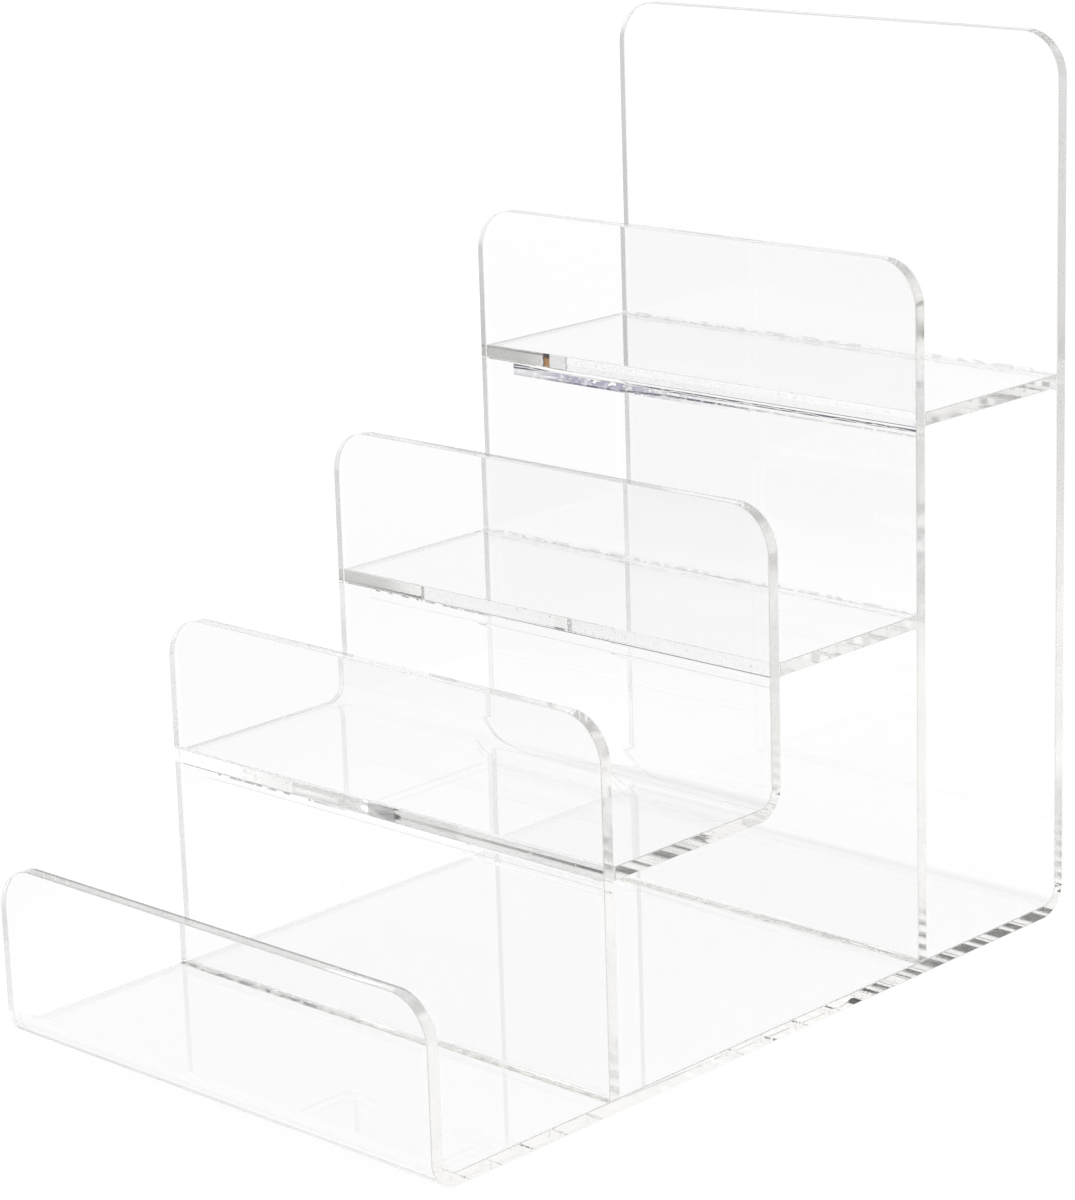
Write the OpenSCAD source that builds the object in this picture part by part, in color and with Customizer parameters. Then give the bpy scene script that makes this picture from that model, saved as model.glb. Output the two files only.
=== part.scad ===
// Four-tier stepped vanity organizer, made of clear acrylic sheet.
// One long sheet is heat-bent into the front lip, the floor and the tall back panel.
// Two flat risers and one L-bent riser stand in it and carry the stepped trays.
// Every joint is a cemented butt joint, drawn as the thin film and the beads that it leaves.
// Units are millimetres, +Z is up, the lip faces -Y, and the origin is under the middle.

/* [Sheet] */
// Thickness of every sheet
sheet_t = 3; // [2:0.5:6]
// Width of the stand from side to side
sheet_w = 127; // [80:1:300]
// Radius of the rounded top corners of the lip, the risers and the back
corner_r = 10; // [3:0.5:18]
// Inner radius of the heat bends
bend_inner_r = 4; // [2:0.5:8]

/* [Tray depths] */
// Clear depth of the first tray, from the lip to the first riser
tray_one_depth = 47.2; // [30:0.1:90]
// Clear depth of the second tray, from the first riser to the second
tray_two_depth = 48.4; // [30:0.1:90]
// Clear depth of the third tray, from the second riser to the third
tray_three_depth = 45.5; // [30:0.1:90]
// Clear depth of the fourth tray, from the third riser to the back panel
tray_four_depth = 47.1; // [30:0.1:90]

/* [Tray heights] */
// Rise from the floor's upper face to the second tray's upper face
rise_to_two = 48.8; // [30:0.1:80]
// Rise from the second tray to the third
rise_to_three = 29.8; // [24:0.1:80]
// Rise from the third tray to the fourth
rise_to_four = 43.5; // [24:0.1:80]

/* [Lips] */
// Height of the front lip above the first tray
lip_one_h = 36.6; // [24:0.1:60]
// Height of the first riser above the second tray
lip_two_h = 30.9; // [20:0.1:60]
// Height of the second riser above the third tray
lip_three_h = 32.8; // [20:0.1:60]
// Height of the third riser above the fourth tray
lip_four_h = 32.3; // [20:0.1:60]
// Height of the back panel above the fourth tray
back_rise = 74.5; // [40:0.1:160]

/* [Cement] */
// Thickness of the cement film between an edge and the face it is glued to
film_t = 0.15; // [0.05:0.05:0.4]
// Height of the small bead that the cement leaves along both sides of an edge
bead_leg = 0.45; // [0.15:0.05:1.2]
// How far the cement under each tray's front edge has run down behind the riser
cement_run = 3.1; // [1.4:0.1:5]

/* [Hidden] */

// Rounding steps of every arc
$fn = 96;
// Length by which a cutter passes the face it cuts
overrun = 1;

acrylic_rgba = [0.88, 0.91, 0.93, 0.45];
cement_rgba = [0.72, 0.74, 0.78, 0.75];

bend_outer_r = bend_inner_r + sheet_t;

// Overall depth: five upright sheets and the four trays between them
depth = 5 * sheet_t + tray_one_depth + tray_two_depth + tray_three_depth + tray_four_depth;

// Front faces of the upright sheets
lip_y = -depth / 2;
riser_one_y = lip_y + sheet_t + tray_one_depth;
riser_two_y = riser_one_y + sheet_t + tray_two_depth;
riser_three_y = riser_two_y + sheet_t + tray_three_depth;
back_y = riser_three_y + sheet_t + tray_four_depth;

// Upper faces of the trays
tray_one_z = sheet_t;
tray_two_z = tray_one_z + rise_to_two;
tray_three_z = tray_two_z + rise_to_three;
tray_four_z = tray_three_z + rise_to_four;

// Top edges of the upright sheets
lip_top = tray_one_z + lip_one_h;
riser_one_top = tray_two_z + lip_two_h;
riser_two_top = tray_three_z + lip_three_h;
riser_three_top = tray_four_z + lip_four_h;
back_top = tray_four_z + back_rise;

// Feet of the risers that stand on the floor, on their film of cement
foot_z = tray_one_z + film_t;

// How far a small bead spreads over the face that the edge is glued to
bead_reach = bead_leg + film_t;

// Draws a side profile, given as depth and height, across the whole width
module across_width() {
    translate([-sheet_w / 2, 0, 0])
        rotate([90, 0, 90])
            linear_extrude(height = sheet_w) children();
}

// Quarter of a ring in the side profile; turn 0 opens up and forward, turn 1 opens up and back
module quarter_bend(turn) {
    mirror([turn, 0]) intersection() {
        difference() {
            circle(r = bend_outer_r);
            circle(r = bend_inner_r);
        }
        translate([0, -bend_outer_r]) square(bend_outer_r);
    }
}

// Waste above the two rounded top corners of an upright sheet whose front face lies at y
module corner_waste(y, top) {
    for (side = [-1, 1])
        translate([side * (sheet_w / 2 - corner_r), y - overrun, top - corner_r])
            difference() {
                translate([side < 0 ? -corner_r - overrun : 0, 0, 0])
                    cube([corner_r + overrun, sheet_t + 2 * overrun, corner_r + overrun]);
                rotate([-90, 0, 0]) cylinder(r = corner_r, h = sheet_t + 2 * overrun);
            }
}

// Flat upright sheet with rounded top corners, from its foot to its top
module flat_riser(y, foot, top) {
    difference() {
        translate([-sheet_w / 2, y, foot]) cube([sheet_w, sheet_t, top - foot]);
        corner_waste(y, top);
    }
}

// Flat tray sheet between two upright sheets, short of both by a film of cement
module flat_shelf(front, rear, top) {
    translate([-sheet_w / 2, front + film_t, top - sheet_t])
        cube([sheet_w, rear - front - 2 * film_t, sheet_t]);
}

// Side profile of the cement under or behind an edge: the film and a bead on each side of it.
// far_reach is how far the bead on the far side spreads over the face that the edge is glued to
module cement_profile(far_reach) {
    polygon([[-bead_reach, -film_t], [sheet_t + far_reach, -film_t], [sheet_t, bead_leg],
             [sheet_t, 0], [0, 0], [0, bead_leg]]);
}

// Cement between an upright edge's foot and the floor
module foot_cement(y) {
    across_width() translate([y, foot_z]) cement_profile(bead_reach);
}

// Cement between a tray's front edge and the rear face of the sheet before it, with its run below
module front_cement(face, top) {
    across_width() translate([face + film_t, top]) rotate(-90) cement_profile(cement_run);
}

// Cement between a tray's rear edge and the front face of the sheet behind it
module rear_cement(face, top) {
    across_width() translate([face - film_t, top - sheet_t]) rotate(90) cement_profile(bead_reach);
}

// One sheet, bent twice: front lip, floor and back panel
module base_sheet() {
    color(acrylic_rgba) difference() {
        across_width() {
            translate([lip_y + bend_outer_r, 0]) square([depth - 2 * bend_outer_r, sheet_t]);
            translate([lip_y, bend_outer_r]) square([sheet_t, lip_top - bend_outer_r]);
            translate([back_y, bend_outer_r]) square([sheet_t, back_top - bend_outer_r]);
            translate([lip_y + bend_outer_r, bend_outer_r]) quarter_bend(1);
            translate([back_y + sheet_t - bend_outer_r, bend_outer_r]) quarter_bend(0);
        }
        corner_waste(lip_y, lip_top);
        corner_waste(back_y, back_top);
    }
}

// Flat riser between the first tray and the second
module riser_one() {
    color(acrylic_rgba) flat_riser(riser_one_y, foot_z, riser_one_top);
}

// L-bent sheet: its foot is the second tray, its upright is the lip of the third
module riser_two() {
    foot_front = riser_one_y + sheet_t + film_t;
    foot_under = tray_two_z - sheet_t;
    bend_y = riser_two_y + sheet_t - bend_outer_r;
    bend_z = foot_under + bend_outer_r;
    color(acrylic_rgba) difference() {
        across_width() {
            translate([foot_front, foot_under]) square([bend_y - foot_front, sheet_t]);
            translate([riser_two_y, bend_z]) square([sheet_t, riser_two_top - bend_z]);
            translate([bend_y, bend_z]) quarter_bend(0);
        }
        corner_waste(riser_two_y, riser_two_top);
    }
}

// Flat riser from the floor to above the fourth tray
module riser_three() {
    color(acrylic_rgba) flat_riser(riser_three_y, foot_z, riser_three_top);
}

// Third tray, glued between the second riser and the third
module shelf_three() {
    color(acrylic_rgba) flat_shelf(riser_two_y + sheet_t, riser_three_y, tray_three_z);
}

// Fourth tray, glued between the third riser and the back panel
module shelf_four() {
    color(acrylic_rgba) flat_shelf(riser_three_y + sheet_t, back_y, tray_four_z);
}

module cement_riser_one() {
    color(cement_rgba) foot_cement(riser_one_y);
}

module cement_shelf_two() {
    color(cement_rgba) front_cement(riser_one_y + sheet_t, tray_two_z);
}

module cement_shelf_three_front() {
    color(cement_rgba) front_cement(riser_two_y + sheet_t, tray_three_z);
}

module cement_shelf_three_rear() {
    color(cement_rgba) rear_cement(riser_three_y, tray_three_z);
}

module cement_riser_three() {
    color(cement_rgba) foot_cement(riser_three_y);
}

module cement_shelf_four_front() {
    color(cement_rgba) front_cement(riser_three_y + sheet_t, tray_four_z);
}

module cement_shelf_four_rear() {
    color(cement_rgba) rear_cement(back_y, tray_four_z);
}

base_sheet();
riser_one();
riser_two();
riser_three();
shelf_three();
shelf_four();
cement_riser_one();
cement_shelf_two();
cement_shelf_three_front();
cement_shelf_three_rear();
cement_riser_three();
cement_shelf_four_front();
cement_shelf_four_rear();
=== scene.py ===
import math
import random

import bmesh
import bpy
from mathutils import Matrix, Vector, noise


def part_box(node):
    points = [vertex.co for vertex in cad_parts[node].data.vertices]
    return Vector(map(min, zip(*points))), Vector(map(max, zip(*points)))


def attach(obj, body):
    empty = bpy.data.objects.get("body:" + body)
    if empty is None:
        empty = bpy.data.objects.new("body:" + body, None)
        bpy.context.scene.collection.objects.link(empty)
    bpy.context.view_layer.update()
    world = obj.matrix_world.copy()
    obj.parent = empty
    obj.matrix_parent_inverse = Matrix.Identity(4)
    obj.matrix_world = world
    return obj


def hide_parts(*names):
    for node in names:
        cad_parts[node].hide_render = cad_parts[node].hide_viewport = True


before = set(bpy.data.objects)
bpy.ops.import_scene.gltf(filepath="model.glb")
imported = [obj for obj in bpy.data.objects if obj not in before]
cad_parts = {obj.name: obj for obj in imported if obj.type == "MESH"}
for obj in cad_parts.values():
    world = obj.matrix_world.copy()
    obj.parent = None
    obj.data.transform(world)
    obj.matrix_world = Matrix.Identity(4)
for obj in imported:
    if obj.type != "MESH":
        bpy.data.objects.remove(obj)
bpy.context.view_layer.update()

# Sizes, in metres, from the frame where it holds them
MM = 0.001
base_low, base_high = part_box("base_sheet")
one_low, one_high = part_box("riser_one")
two_low, two_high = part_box("riser_two")
three_low, three_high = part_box("riser_three")
shelf3_low, shelf3_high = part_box("shelf_three")
shelf4_low, shelf4_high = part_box("shelf_four")
HALF_W = base_high.x
SHEET_T = one_high.y - one_low.y
HALF_T = SHEET_T / 2
CORNER_R = 10.0 * MM
BEND_INNER = 4.0 * MM
BEND_MID = BEND_INNER + HALF_T
BEND_OUTER = BEND_INNER + SHEET_T
LIP_TOP = 39.6 * MM
FILM_T = one_low.z - SHEET_T
EDGE_BREAK = 0.22 * MM
FOOT_CORNER = 0.3 * MM

# How far the cement's beads climb the sides of a glued edge and spread over the face that it is glued to.
# TOP_BEAD is the size of the upper bead of the third and fourth tray's front edges, against the others
_, foot_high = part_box("cement_riser_one")
GLUED_H = foot_high.z - one_low.z
BEAD_REACH = GLUED_H + FILM_T
TOP_BEAD = 0.3
GLUED = (GLUED_H, GLUED_H)
LOW_BEAD = (GLUED_H * TOP_BEAD, GLUED_H)

# Material slots of a sheet. FIRST_END is the glued edge at the beginning of its path
FACE, EDGE, CEMENTED, FIRST_END = range(4)

# Steps of the rounded forms
CORNER_STEPS = 32
BEND_STEPS = 72
BREAK_STEPS = 3


def path_of(start, heading, moves):
    """The middle line of a sheet in the side view. moves are ("line", length) or ("bend", radius).
    Every bend turns left by a quarter. Gives a function from the length along the line to the place,
    the direction and the left normal there, the whole length, and the lengths where a bend has a step."""
    pieces, at, place, angle = [], 0.0, Vector(start), heading
    for kind, size in moves:
        length = size if kind == "line" else size * math.pi / 2
        pieces.append((at, length, kind, size, place.copy(), angle))
        if kind == "line":
            place += Vector((math.cos(angle), math.sin(angle))) * size
        else:
            centre = place + Vector((-math.sin(angle), math.cos(angle))) * size
            angle += math.pi / 2
            place = centre - Vector((-math.sin(angle), math.cos(angle))) * size
        at += length

    def at_length(v):
        piece = next((p for p in reversed(pieces) if v >= p[0]), pieces[0])
        begin, length, kind, size, origin, turn = piece
        if kind == "line":
            along = Vector((math.cos(turn), math.sin(turn)))
            return origin + along * (v - begin), along, Vector((-along.y, along.x))
        centre = origin + Vector((-math.sin(turn), math.cos(turn))) * size
        turn += (v - begin) / size
        along = Vector((math.cos(turn), math.sin(turn)))
        left = Vector((-along.y, along.x))
        return centre - left * size, along, left

    steps = []
    for begin, length, kind, size, origin, turn in pieces:
        if kind == "bend":
            steps += [begin + length * i / BEND_STEPS for i in range(BEND_STEPS + 1)]
    return at_length, at, steps


def outline(length, radii, steps):
    """Right half of a flat sheet's outline: (length along, half width, outward normal) at each point."""
    points = []
    for i in range(CORNER_STEPS + 1):
        a = math.pi / 2 * i / CORNER_STEPS
        points.append((radii[0] * (1 - math.cos(a)), HALF_W - radii[0] * (1 - math.sin(a)),
                       -math.cos(a), math.sin(a)))
    points += [(v, HALF_W, 0.0, 1.0) for v in steps if radii[0] < v < length - radii[1]]
    for i in range(CORNER_STEPS + 1):
        a = math.pi / 2 * i / CORNER_STEPS
        points.append((length - radii[1] * (1 - math.sin(a)), HALF_W - radii[1] * (1 - math.cos(a)),
                       math.sin(a), math.cos(a)))
    return points


def make_sheet(name, path, radii, patches=(), glued_ends=(None, None)):
    """A closed sheet along a path, with rounded ends, broken edges and analytic normals. patches are
    (from, to, side) strips of the faces that cement covers, and glued_ends says how far cement climbs the
    left and the right face from each end."""
    at_length, length, steps = path
    patches = list(patches)
    if glued_ends[0]:
        patches += [(-EDGE_BREAK, reach, side) for reach, side in zip(glued_ends[0], (1, -1))]
    if glued_ends[1]:
        patches += [(length - reach, length + EDGE_BREAK, side)
                    for reach, side in zip(glued_ends[1], (1, -1))]
    cuts = [v for a, b, side in patches for v in (a, b)]
    points = outline(length, radii, sorted(set(steps + cuts)))
    rings = []
    for k in range(BREAK_STEPS + 1):
        phi = math.pi / 2 * k / BREAK_STEPS
        rings.append((EDGE_BREAK * (1 - math.cos(phi)),
                      HALF_T - EDGE_BREAK * (1 - math.sin(phi)), phi))
    verts, normals, lengths, index = [], [], [], {}
    for side in (1, -1):
        for j, (v, x, nv, nx) in enumerate(points):
            for k, (inset, height, phi) in enumerate(rings):
                for face in (1, -1):
                    v_in = v - inset * nv
                    place, along, left = at_length(v_in)
                    y, z = place + left * height * face
                    index[side, j, k, face] = len(verts)
                    verts.append((side * (x - inset * nx), y, z))
                    flat = along * nv * math.cos(phi) + left * face * math.sin(phi)
                    normals.append(Vector((side * nx * math.cos(phi), flat.x, flat.y)).normalized())
                    lengths.append((v_in, face * height))
    faces, slots = [], []
    last, inner = len(points) - 1, BREAK_STEPS

    def quad(a, b, c, d, slot):
        faces.append([index[q] for q in (a, b, c, d)])
        slots.append(slot)

    for j in range(last):
        here, there = points[j][0], points[j + 1][0]
        for face in (1, -1):
            middle = (here + there) / 2
            glued = any(a < middle < b and side == face for a, b, side in patches)
            quad((1, j, inner, face), (1, j + 1, inner, face), (-1, j + 1, inner, face),
                 (-1, j, inner, face), CEMENTED if glued else FACE)
        for side in (1, -1):
            quad((side, j, 0, 1), (side, j, 0, -1), (side, j + 1, 0, -1), (side, j + 1, 0, 1), EDGE)
            for k in range(inner):
                for face in (1, -1):
                    quad((side, j, k, face), (side, j + 1, k, face), (side, j + 1, k + 1, face),
                         (side, j, k + 1, face), EDGE)
    for end, j in enumerate((0, last)):
        slot = (FIRST_END if end == 0 else CEMENTED) if glued_ends[end] else EDGE
        quad((1, j, 0, 1), (1, j, 0, -1), (-1, j, 0, -1), (-1, j, 0, 1), slot)
        for k in range(inner):
            for face in (1, -1):
                quad((1, j, k, face), (1, j, k + 1, face), (-1, j, k + 1, face), (-1, j, k, face), slot)
    mesh = bpy.data.meshes.new(name)
    mesh.from_pydata(verts, [], faces)
    for polygon, slot in zip(mesh.polygons, slots):
        polygon.material_index = slot
        polygon.use_smooth = True
        middle = sum((normals[i] for i in polygon.vertices), Vector())
        if polygon.normal.dot(middle) < 0:
            polygon.flip()
    uv = mesh.uv_layers.new(name="sheet")
    for loop in mesh.loops:
        v, s = lengths[loop.vertex_index]
        uv.data[loop.index].uv = (v, s + verts[loop.vertex_index][0])
    mesh.normals_split_custom_set_from_vertices(normals)
    piece = bpy.data.objects.new(name, mesh)
    bpy.context.scene.collection.objects.link(piece)
    return piece


UPWARD = Vector((0, 0, 1))


class Graph:
    """Short names for the nodes that the lights and finishes are made of."""

    def __init__(self, tree):
        self.tree = tree

    def node(self, kind, inputs=None, **settings):
        made = self.tree.nodes.new(kind)
        for key, value in settings.items():
            setattr(made, key, value)
        for socket, value in (inputs or {}).items():
            if hasattr(value, "is_output"):
                self.tree.links.new(value, made.inputs[socket])
            else:
                made.inputs[socket].default_value = value
        return made

    def link(self, output, socket):
        self.tree.links.new(output, socket)

    def place(self):
        """The point in the object's own frame, which is the CAD's."""
        return self.node("ShaderNodeTexCoord").outputs["Object"]

    def sheet(self):
        """A sheet's own map: the length along its path, and x plus the height over its middle plane."""
        return self.node("ShaderNodeUVMap", uv_map="sheet").outputs[0]

    def split(self, vector):
        return self.node("ShaderNodeSeparateXYZ", {0: vector}).outputs

    def stretch(self, vector, factors):
        return self.node("ShaderNodeVectorMath", {0: vector, 1: factors}, operation="MULTIPLY").outputs[0]

    def along(self, vector, direction):
        found = self.node("ShaderNodeVectorMath", {0: vector, 1: direction}, operation="DOT_PRODUCT")
        return found.outputs["Value"]

    def noise(self, vector, scale, detail):
        inputs = {"Vector": vector, "Scale": scale, "Detail": detail}
        return self.node("ShaderNodeTexNoise", inputs).outputs[0]

    def grey(self, value):
        return self.node("ShaderNodeCombineColor", {0: value, 1: value, 2: value}).outputs[0]

    def bump(self, height, distance, shader):
        made = self.node("ShaderNodeBump", {"Height": height, "Distance": distance, "Strength": 1.0})
        self.link(made.outputs[0], shader.inputs["Normal"])

    def maths(self, operation, first, second=0.0, third=0.0):
        inputs = {0: first, 1: second, 2: third}
        return self.node("ShaderNodeMath", inputs, operation=operation).outputs[0]

    def product(self, first, *others):
        for other in others:
            first = self.maths("MULTIPLY", first, other)
        return first

    def highest(self, first, second):
        return self.maths("MAXIMUM", first, second)

    def ramp(self, value, start, end, low, high):
        """A smooth step from low at start to high at end."""
        inputs = {0: value, 1: start, 2: end, 3: low, 4: high}
        return self.node("ShaderNodeMapRange", inputs, interpolation_type="SMOOTHSTEP").outputs[0]

    def rise(self, value, start, end):
        return self.ramp(value, start, end, 0.0, 1.0)

    def fall(self, value, start, end):
        return self.ramp(value, start, end, 1.0, 0.0)

    def mix(self, factor, first, second):
        """Numbers mixed: first where the factor is 0, second where it is 1."""
        return self.node("ShaderNodeMix", {0: factor, 2: first, 3: second}).outputs[0]

    def blend(self, factor, first, second):
        """Colours mixed: first where the factor is 0, second where it is 1."""
        return self.node("ShaderNodeMix", {0: factor, 6: first, 7: second}, data_type="RGBA").outputs[2]

    def line(self, value, at, half_width, soft):
        """1 where the value is within half_width of at, and 0 beyond that and soft."""
        off = self.maths("ABSOLUTE", self.maths("SUBTRACT", value, at))
        return self.fall(off, half_width, half_width + soft)


def principled(name, **sockets):
    """A material with one Principled shader whose sockets are set by name."""
    material = bpy.data.materials.new(name)
    material.use_nodes = True
    shader = material.node_tree.nodes["Principled BSDF"]
    for socket, value in sockets.items():
        shader.inputs[socket.replace("_", " ")].default_value = value
    return material, shader, Graph(material.node_tree)


# Finishes. Noise scales count features to the metre. SMOOTH, BROKEN and CLOUDY count a noise's layers
SMOOTH = 1.0
BROKEN = 2.0
CLOUDY = 3.0
ACRYLIC_IOR = 1.49
NOISE_TURN = (0.35, 0.65)
NOISE_MIDDLE = 0.5
WAVINESS = 9.0
WAVE_DEPTH = 0.02 * MM
SPECKS = 42.0
SPECK_SIZE = 0.007
SPECK_ROUGH = 0.55
SPECK_SHADE = 0.62
FACE_CLEAR = 0.985


def face_material():
    """Cast sheet: glossy and clear, a little wavy, with rare specks of dust."""
    material, shader, g = principled("clear_acrylic_face", IOR=ACRYLIC_IOR, Transmission_Weight=1.0)
    sheet = g.sheet()
    g.bump(g.noise(sheet, WAVINESS, SMOOTH), WAVE_DEPTH, shader)
    cell = g.node("ShaderNodeTexVoronoi", {"Vector": sheet, "Scale": SPECKS}, voronoi_dimensions="2D")
    dice = g.node("ShaderNodeSeparateColor", {0: cell.outputs["Color"]}).outputs[0]
    size = g.maths("SUBTRACT", g.product(dice, SPECK_SIZE), SPECK_SIZE / 2)
    speck = g.maths("LESS_THAN", cell.outputs["Distance"], size)
    g.link(g.ramp(speck, 0.0, 1.0, 0.0, SPECK_ROUGH), shader.inputs["Roughness"])
    g.link(g.grey(g.ramp(speck, 0.0, 1.0, FACE_CLEAR, SPECK_SHADE)), shader.inputs["Base Color"])
    return material


# Polished edges. An arris is the broken corner between an edge and a face. The dark lines painted along the
# arrises are painted shade, in place of the dark reflections in those corners
EDGE_STREAKS = 2600.0
EDGE_STRETCH = (0.02, 1.0, 1.0)
EDGE_DEPTH = 0.001 * MM
EDGE_WARM = (0.965, 0.945, 0.915, 1)
EDGE_COOL = (0.94, 0.945, 0.93, 1)
# The painted highlight: a lighter tint for edges that face up, as if lit from above
EDGE_TOP_PAINTED_LIGHT = (0.99, 0.985, 0.98, 1)
TINT_PATCHES = 45.0
POLISH_PATCHES = 70.0
POLISH_TURN = (0.4, 0.7)
DULL_OVER = 8 * MM
UP_FROM = 0.8
UP_TO = 0.97
ARRIS_PAINTED_SHADE = (0.14, 0.135, 0.125, 1)
ARRIS_SIDE = 0.15
ARRIS_FINE = 0.8 * EDGE_BREAK
ARRIS_FRONT = 1.4 * EDGE_BREAK
ARRIS_REAR = 0.9 * MM
ARRIS_END = (0.8, 1.3)
FRONT_HALF = (-0.5 * MM, 0.5 * MM)


def edge_material(name, polish, dull, dull_above, lines):
    """Sawn and polished edge: faint streaks along it, uneven polish and a warm tint from the long way
    that light travels in it, painted lighter where it faces up (a painted highlight), with dark lines painted
    along its arrises (painted shade). polish and dull are ranges of roughness, below and above a height, and
    lines is how dark the painted shade on the front and the rear arris of the top edge is."""
    material, shader, g = principled(name, IOR=ACRYLIC_IOR, Transmission_Weight=1.0)
    place = g.place()
    sheet = g.sheet()
    across, deep, height = g.split(place)
    g.bump(g.noise(g.stretch(sheet, EDGE_STRETCH), EDGE_STREAKS, BROKEN), EDGE_DEPTH, shader)
    tint = g.blend(g.rise(g.noise(place, TINT_PATCHES, CLOUDY), *NOISE_TURN), EDGE_WARM, EDGE_COOL)
    # Painted highlight: where an edge faces up its tint turns lighter, as if lit from above
    facing = g.node("ShaderNodeNewGeometry").outputs["Normal"]
    facing_up = g.rise(g.along(facing, UPWARD), UP_FROM, UP_TO)
    tint = g.blend(facing_up, tint, EDGE_TOP_PAINTED_LIGHT)

    # Painted shade: dark lines along the arrises, strongest at the top edge's front and rear, in place of the
    # dark reflections in those broken corners
    # The lip's path runs down and the others run up, so the lip's left side, in its map, is the rear one
    off_middle = g.maths("SUBTRACT", g.split(sheet)[1], across)
    forward = g.product(off_middle, g.ramp(deep, base_low.y + SHEET_T, base_low.y + 2 * SHEET_T, -1.0, 1.0))
    in_front = g.rise(forward, *FRONT_HALF)
    upper_run = g.fall(g.maths("ABSOLUTE", across), HALF_W - CORNER_R, HALF_W - CORNER_R / 3)
    strength = g.mix(upper_run, ARRIS_SIDE, g.mix(in_front, lines[1], lines[0]))
    width = g.mix(upper_run, ARRIS_FINE, g.mix(in_front, ARRIS_REAR, ARRIS_FRONT))
    from_side = g.maths("SUBTRACT", HALF_T, g.maths("ABSOLUTE", off_middle))
    arris = g.product(strength, g.fall(g.maths("DIVIDE", from_side, width), *ARRIS_END))
    g.link(g.blend(arris, tint, ARRIS_PAINTED_SHADE), shader.inputs["Base Color"])

    uneven = g.rise(g.noise(place, POLISH_PATCHES, BROKEN), *POLISH_TURN)
    upper = g.maths("SUBTRACT", g.rise(height, dull_above, dull_above + DULL_OVER), facing_up)
    g.link(g.mix(upper, g.mix(uneven, *polish), g.mix(uneven, *dull)), shader.inputs["Roughness"])
    return material


def passing(material):
    """Makes a material let light straight through."""
    tree = material.node_tree
    clear = tree.nodes.new("ShaderNodeBsdfTransparent")
    tree.links.new(clear.outputs[0], tree.nodes["Material Output"].inputs[0])
    return clear


def cemented_material():
    """Where cement joins two sheets, light passes straight on."""
    material = bpy.data.materials.new("cemented_face")
    material.use_nodes = True
    material.node_tree.nodes.remove(material.node_tree.nodes["Principled BSDF"])
    passing(material)
    return material


# The trays' front edges, which cement wet only in part
SAWN_LIGHT = (1.0, 1.0, 0.975, 1)
SAWN_DARK = (0.9, 0.885, 0.83, 1)
WHITE_LIGHT = (1.0, 1.0, 1.0, 1)
WHITE_DARK = (0.97, 0.97, 0.965, 1)
SAWN_ROUGH = 0.45
SAWN_STRETCH = (0.01, 1.0, 1.0)
RAGGED = 900.0
DRY_WANDER = 1.5 * MM
# A dark line painted near a front edge's broken corner: painted shade, in place of the dark reflection in
# that corner
RIM_PAINTED_SHADE = (0.06, 0.055, 0.05, 1)
RIM_SHADE_IN = 0.3 * MM
RIM_SHADE_HALF = 0.15 * MM
RIM_SHADE_WAVES = 0.3 * MM
RIM_SHADE_LEFT = 0.3
STAIN_AMBER = (0.34, 0.11, 0.025, 1)
STAIN_BLACK = (0.006, 0.004, 0.003, 1)
STAIN_WIDE = 2.1 * MM
STAIN_SOFT = 0.2 * MM
STAIN_WANDER = 0.8 * MM
BLACK_ABOVE = (shelf4_high.z - 1.3 * MM, shelf4_high.z - 0.8 * MM)
BLACK_WIDE = (0.4 * MM, 0.8 * MM)
BLACK_STREAKS = (0.36, 0.48, 0.4, 1.0)
FILM_SCALE = 2600.0
GREY_FILM = 0.88
GREY_BEGINS = MM
GREY_ENDS = 2 * MM
FROST_BEGINS = (-12 * MM, MM, 0.3, 1.0)
FROST_ENDS = (6 * MM, 40 * MM, 1.0, 0.3)
FROST_TURN = (0.4, 0.6)
BLUR_SHARE = 0.85
BLUR_SOFT = MM


def stained(g, tint, begin, across, height, uneven, streaks):
    """Lays the fourth tray's stain over a tint: black above and on its left, amber below, then white."""
    wander = g.maths("MULTIPLY_ADD", uneven, STAIN_WANDER, across)
    begun = g.rise(wander, begin, begin + STAIN_SOFT)
    tint = g.blend(begun, tint, STAIN_AMBER)
    left_part = g.fall(wander, begin + BLACK_WIDE[0], begin + BLACK_WIDE[1])
    black = g.highest(g.rise(height, *BLACK_ABOVE), g.product(left_part, g.ramp(streaks, *BLACK_STREAKS)))
    tint = g.blend(g.product(black, begun), tint, STAIN_BLACK)
    after = begin + STAIN_WIDE
    return g.blend(g.rise(across, after, after + STAIN_SOFT), tint, WHITE_LIGHT)


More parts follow.
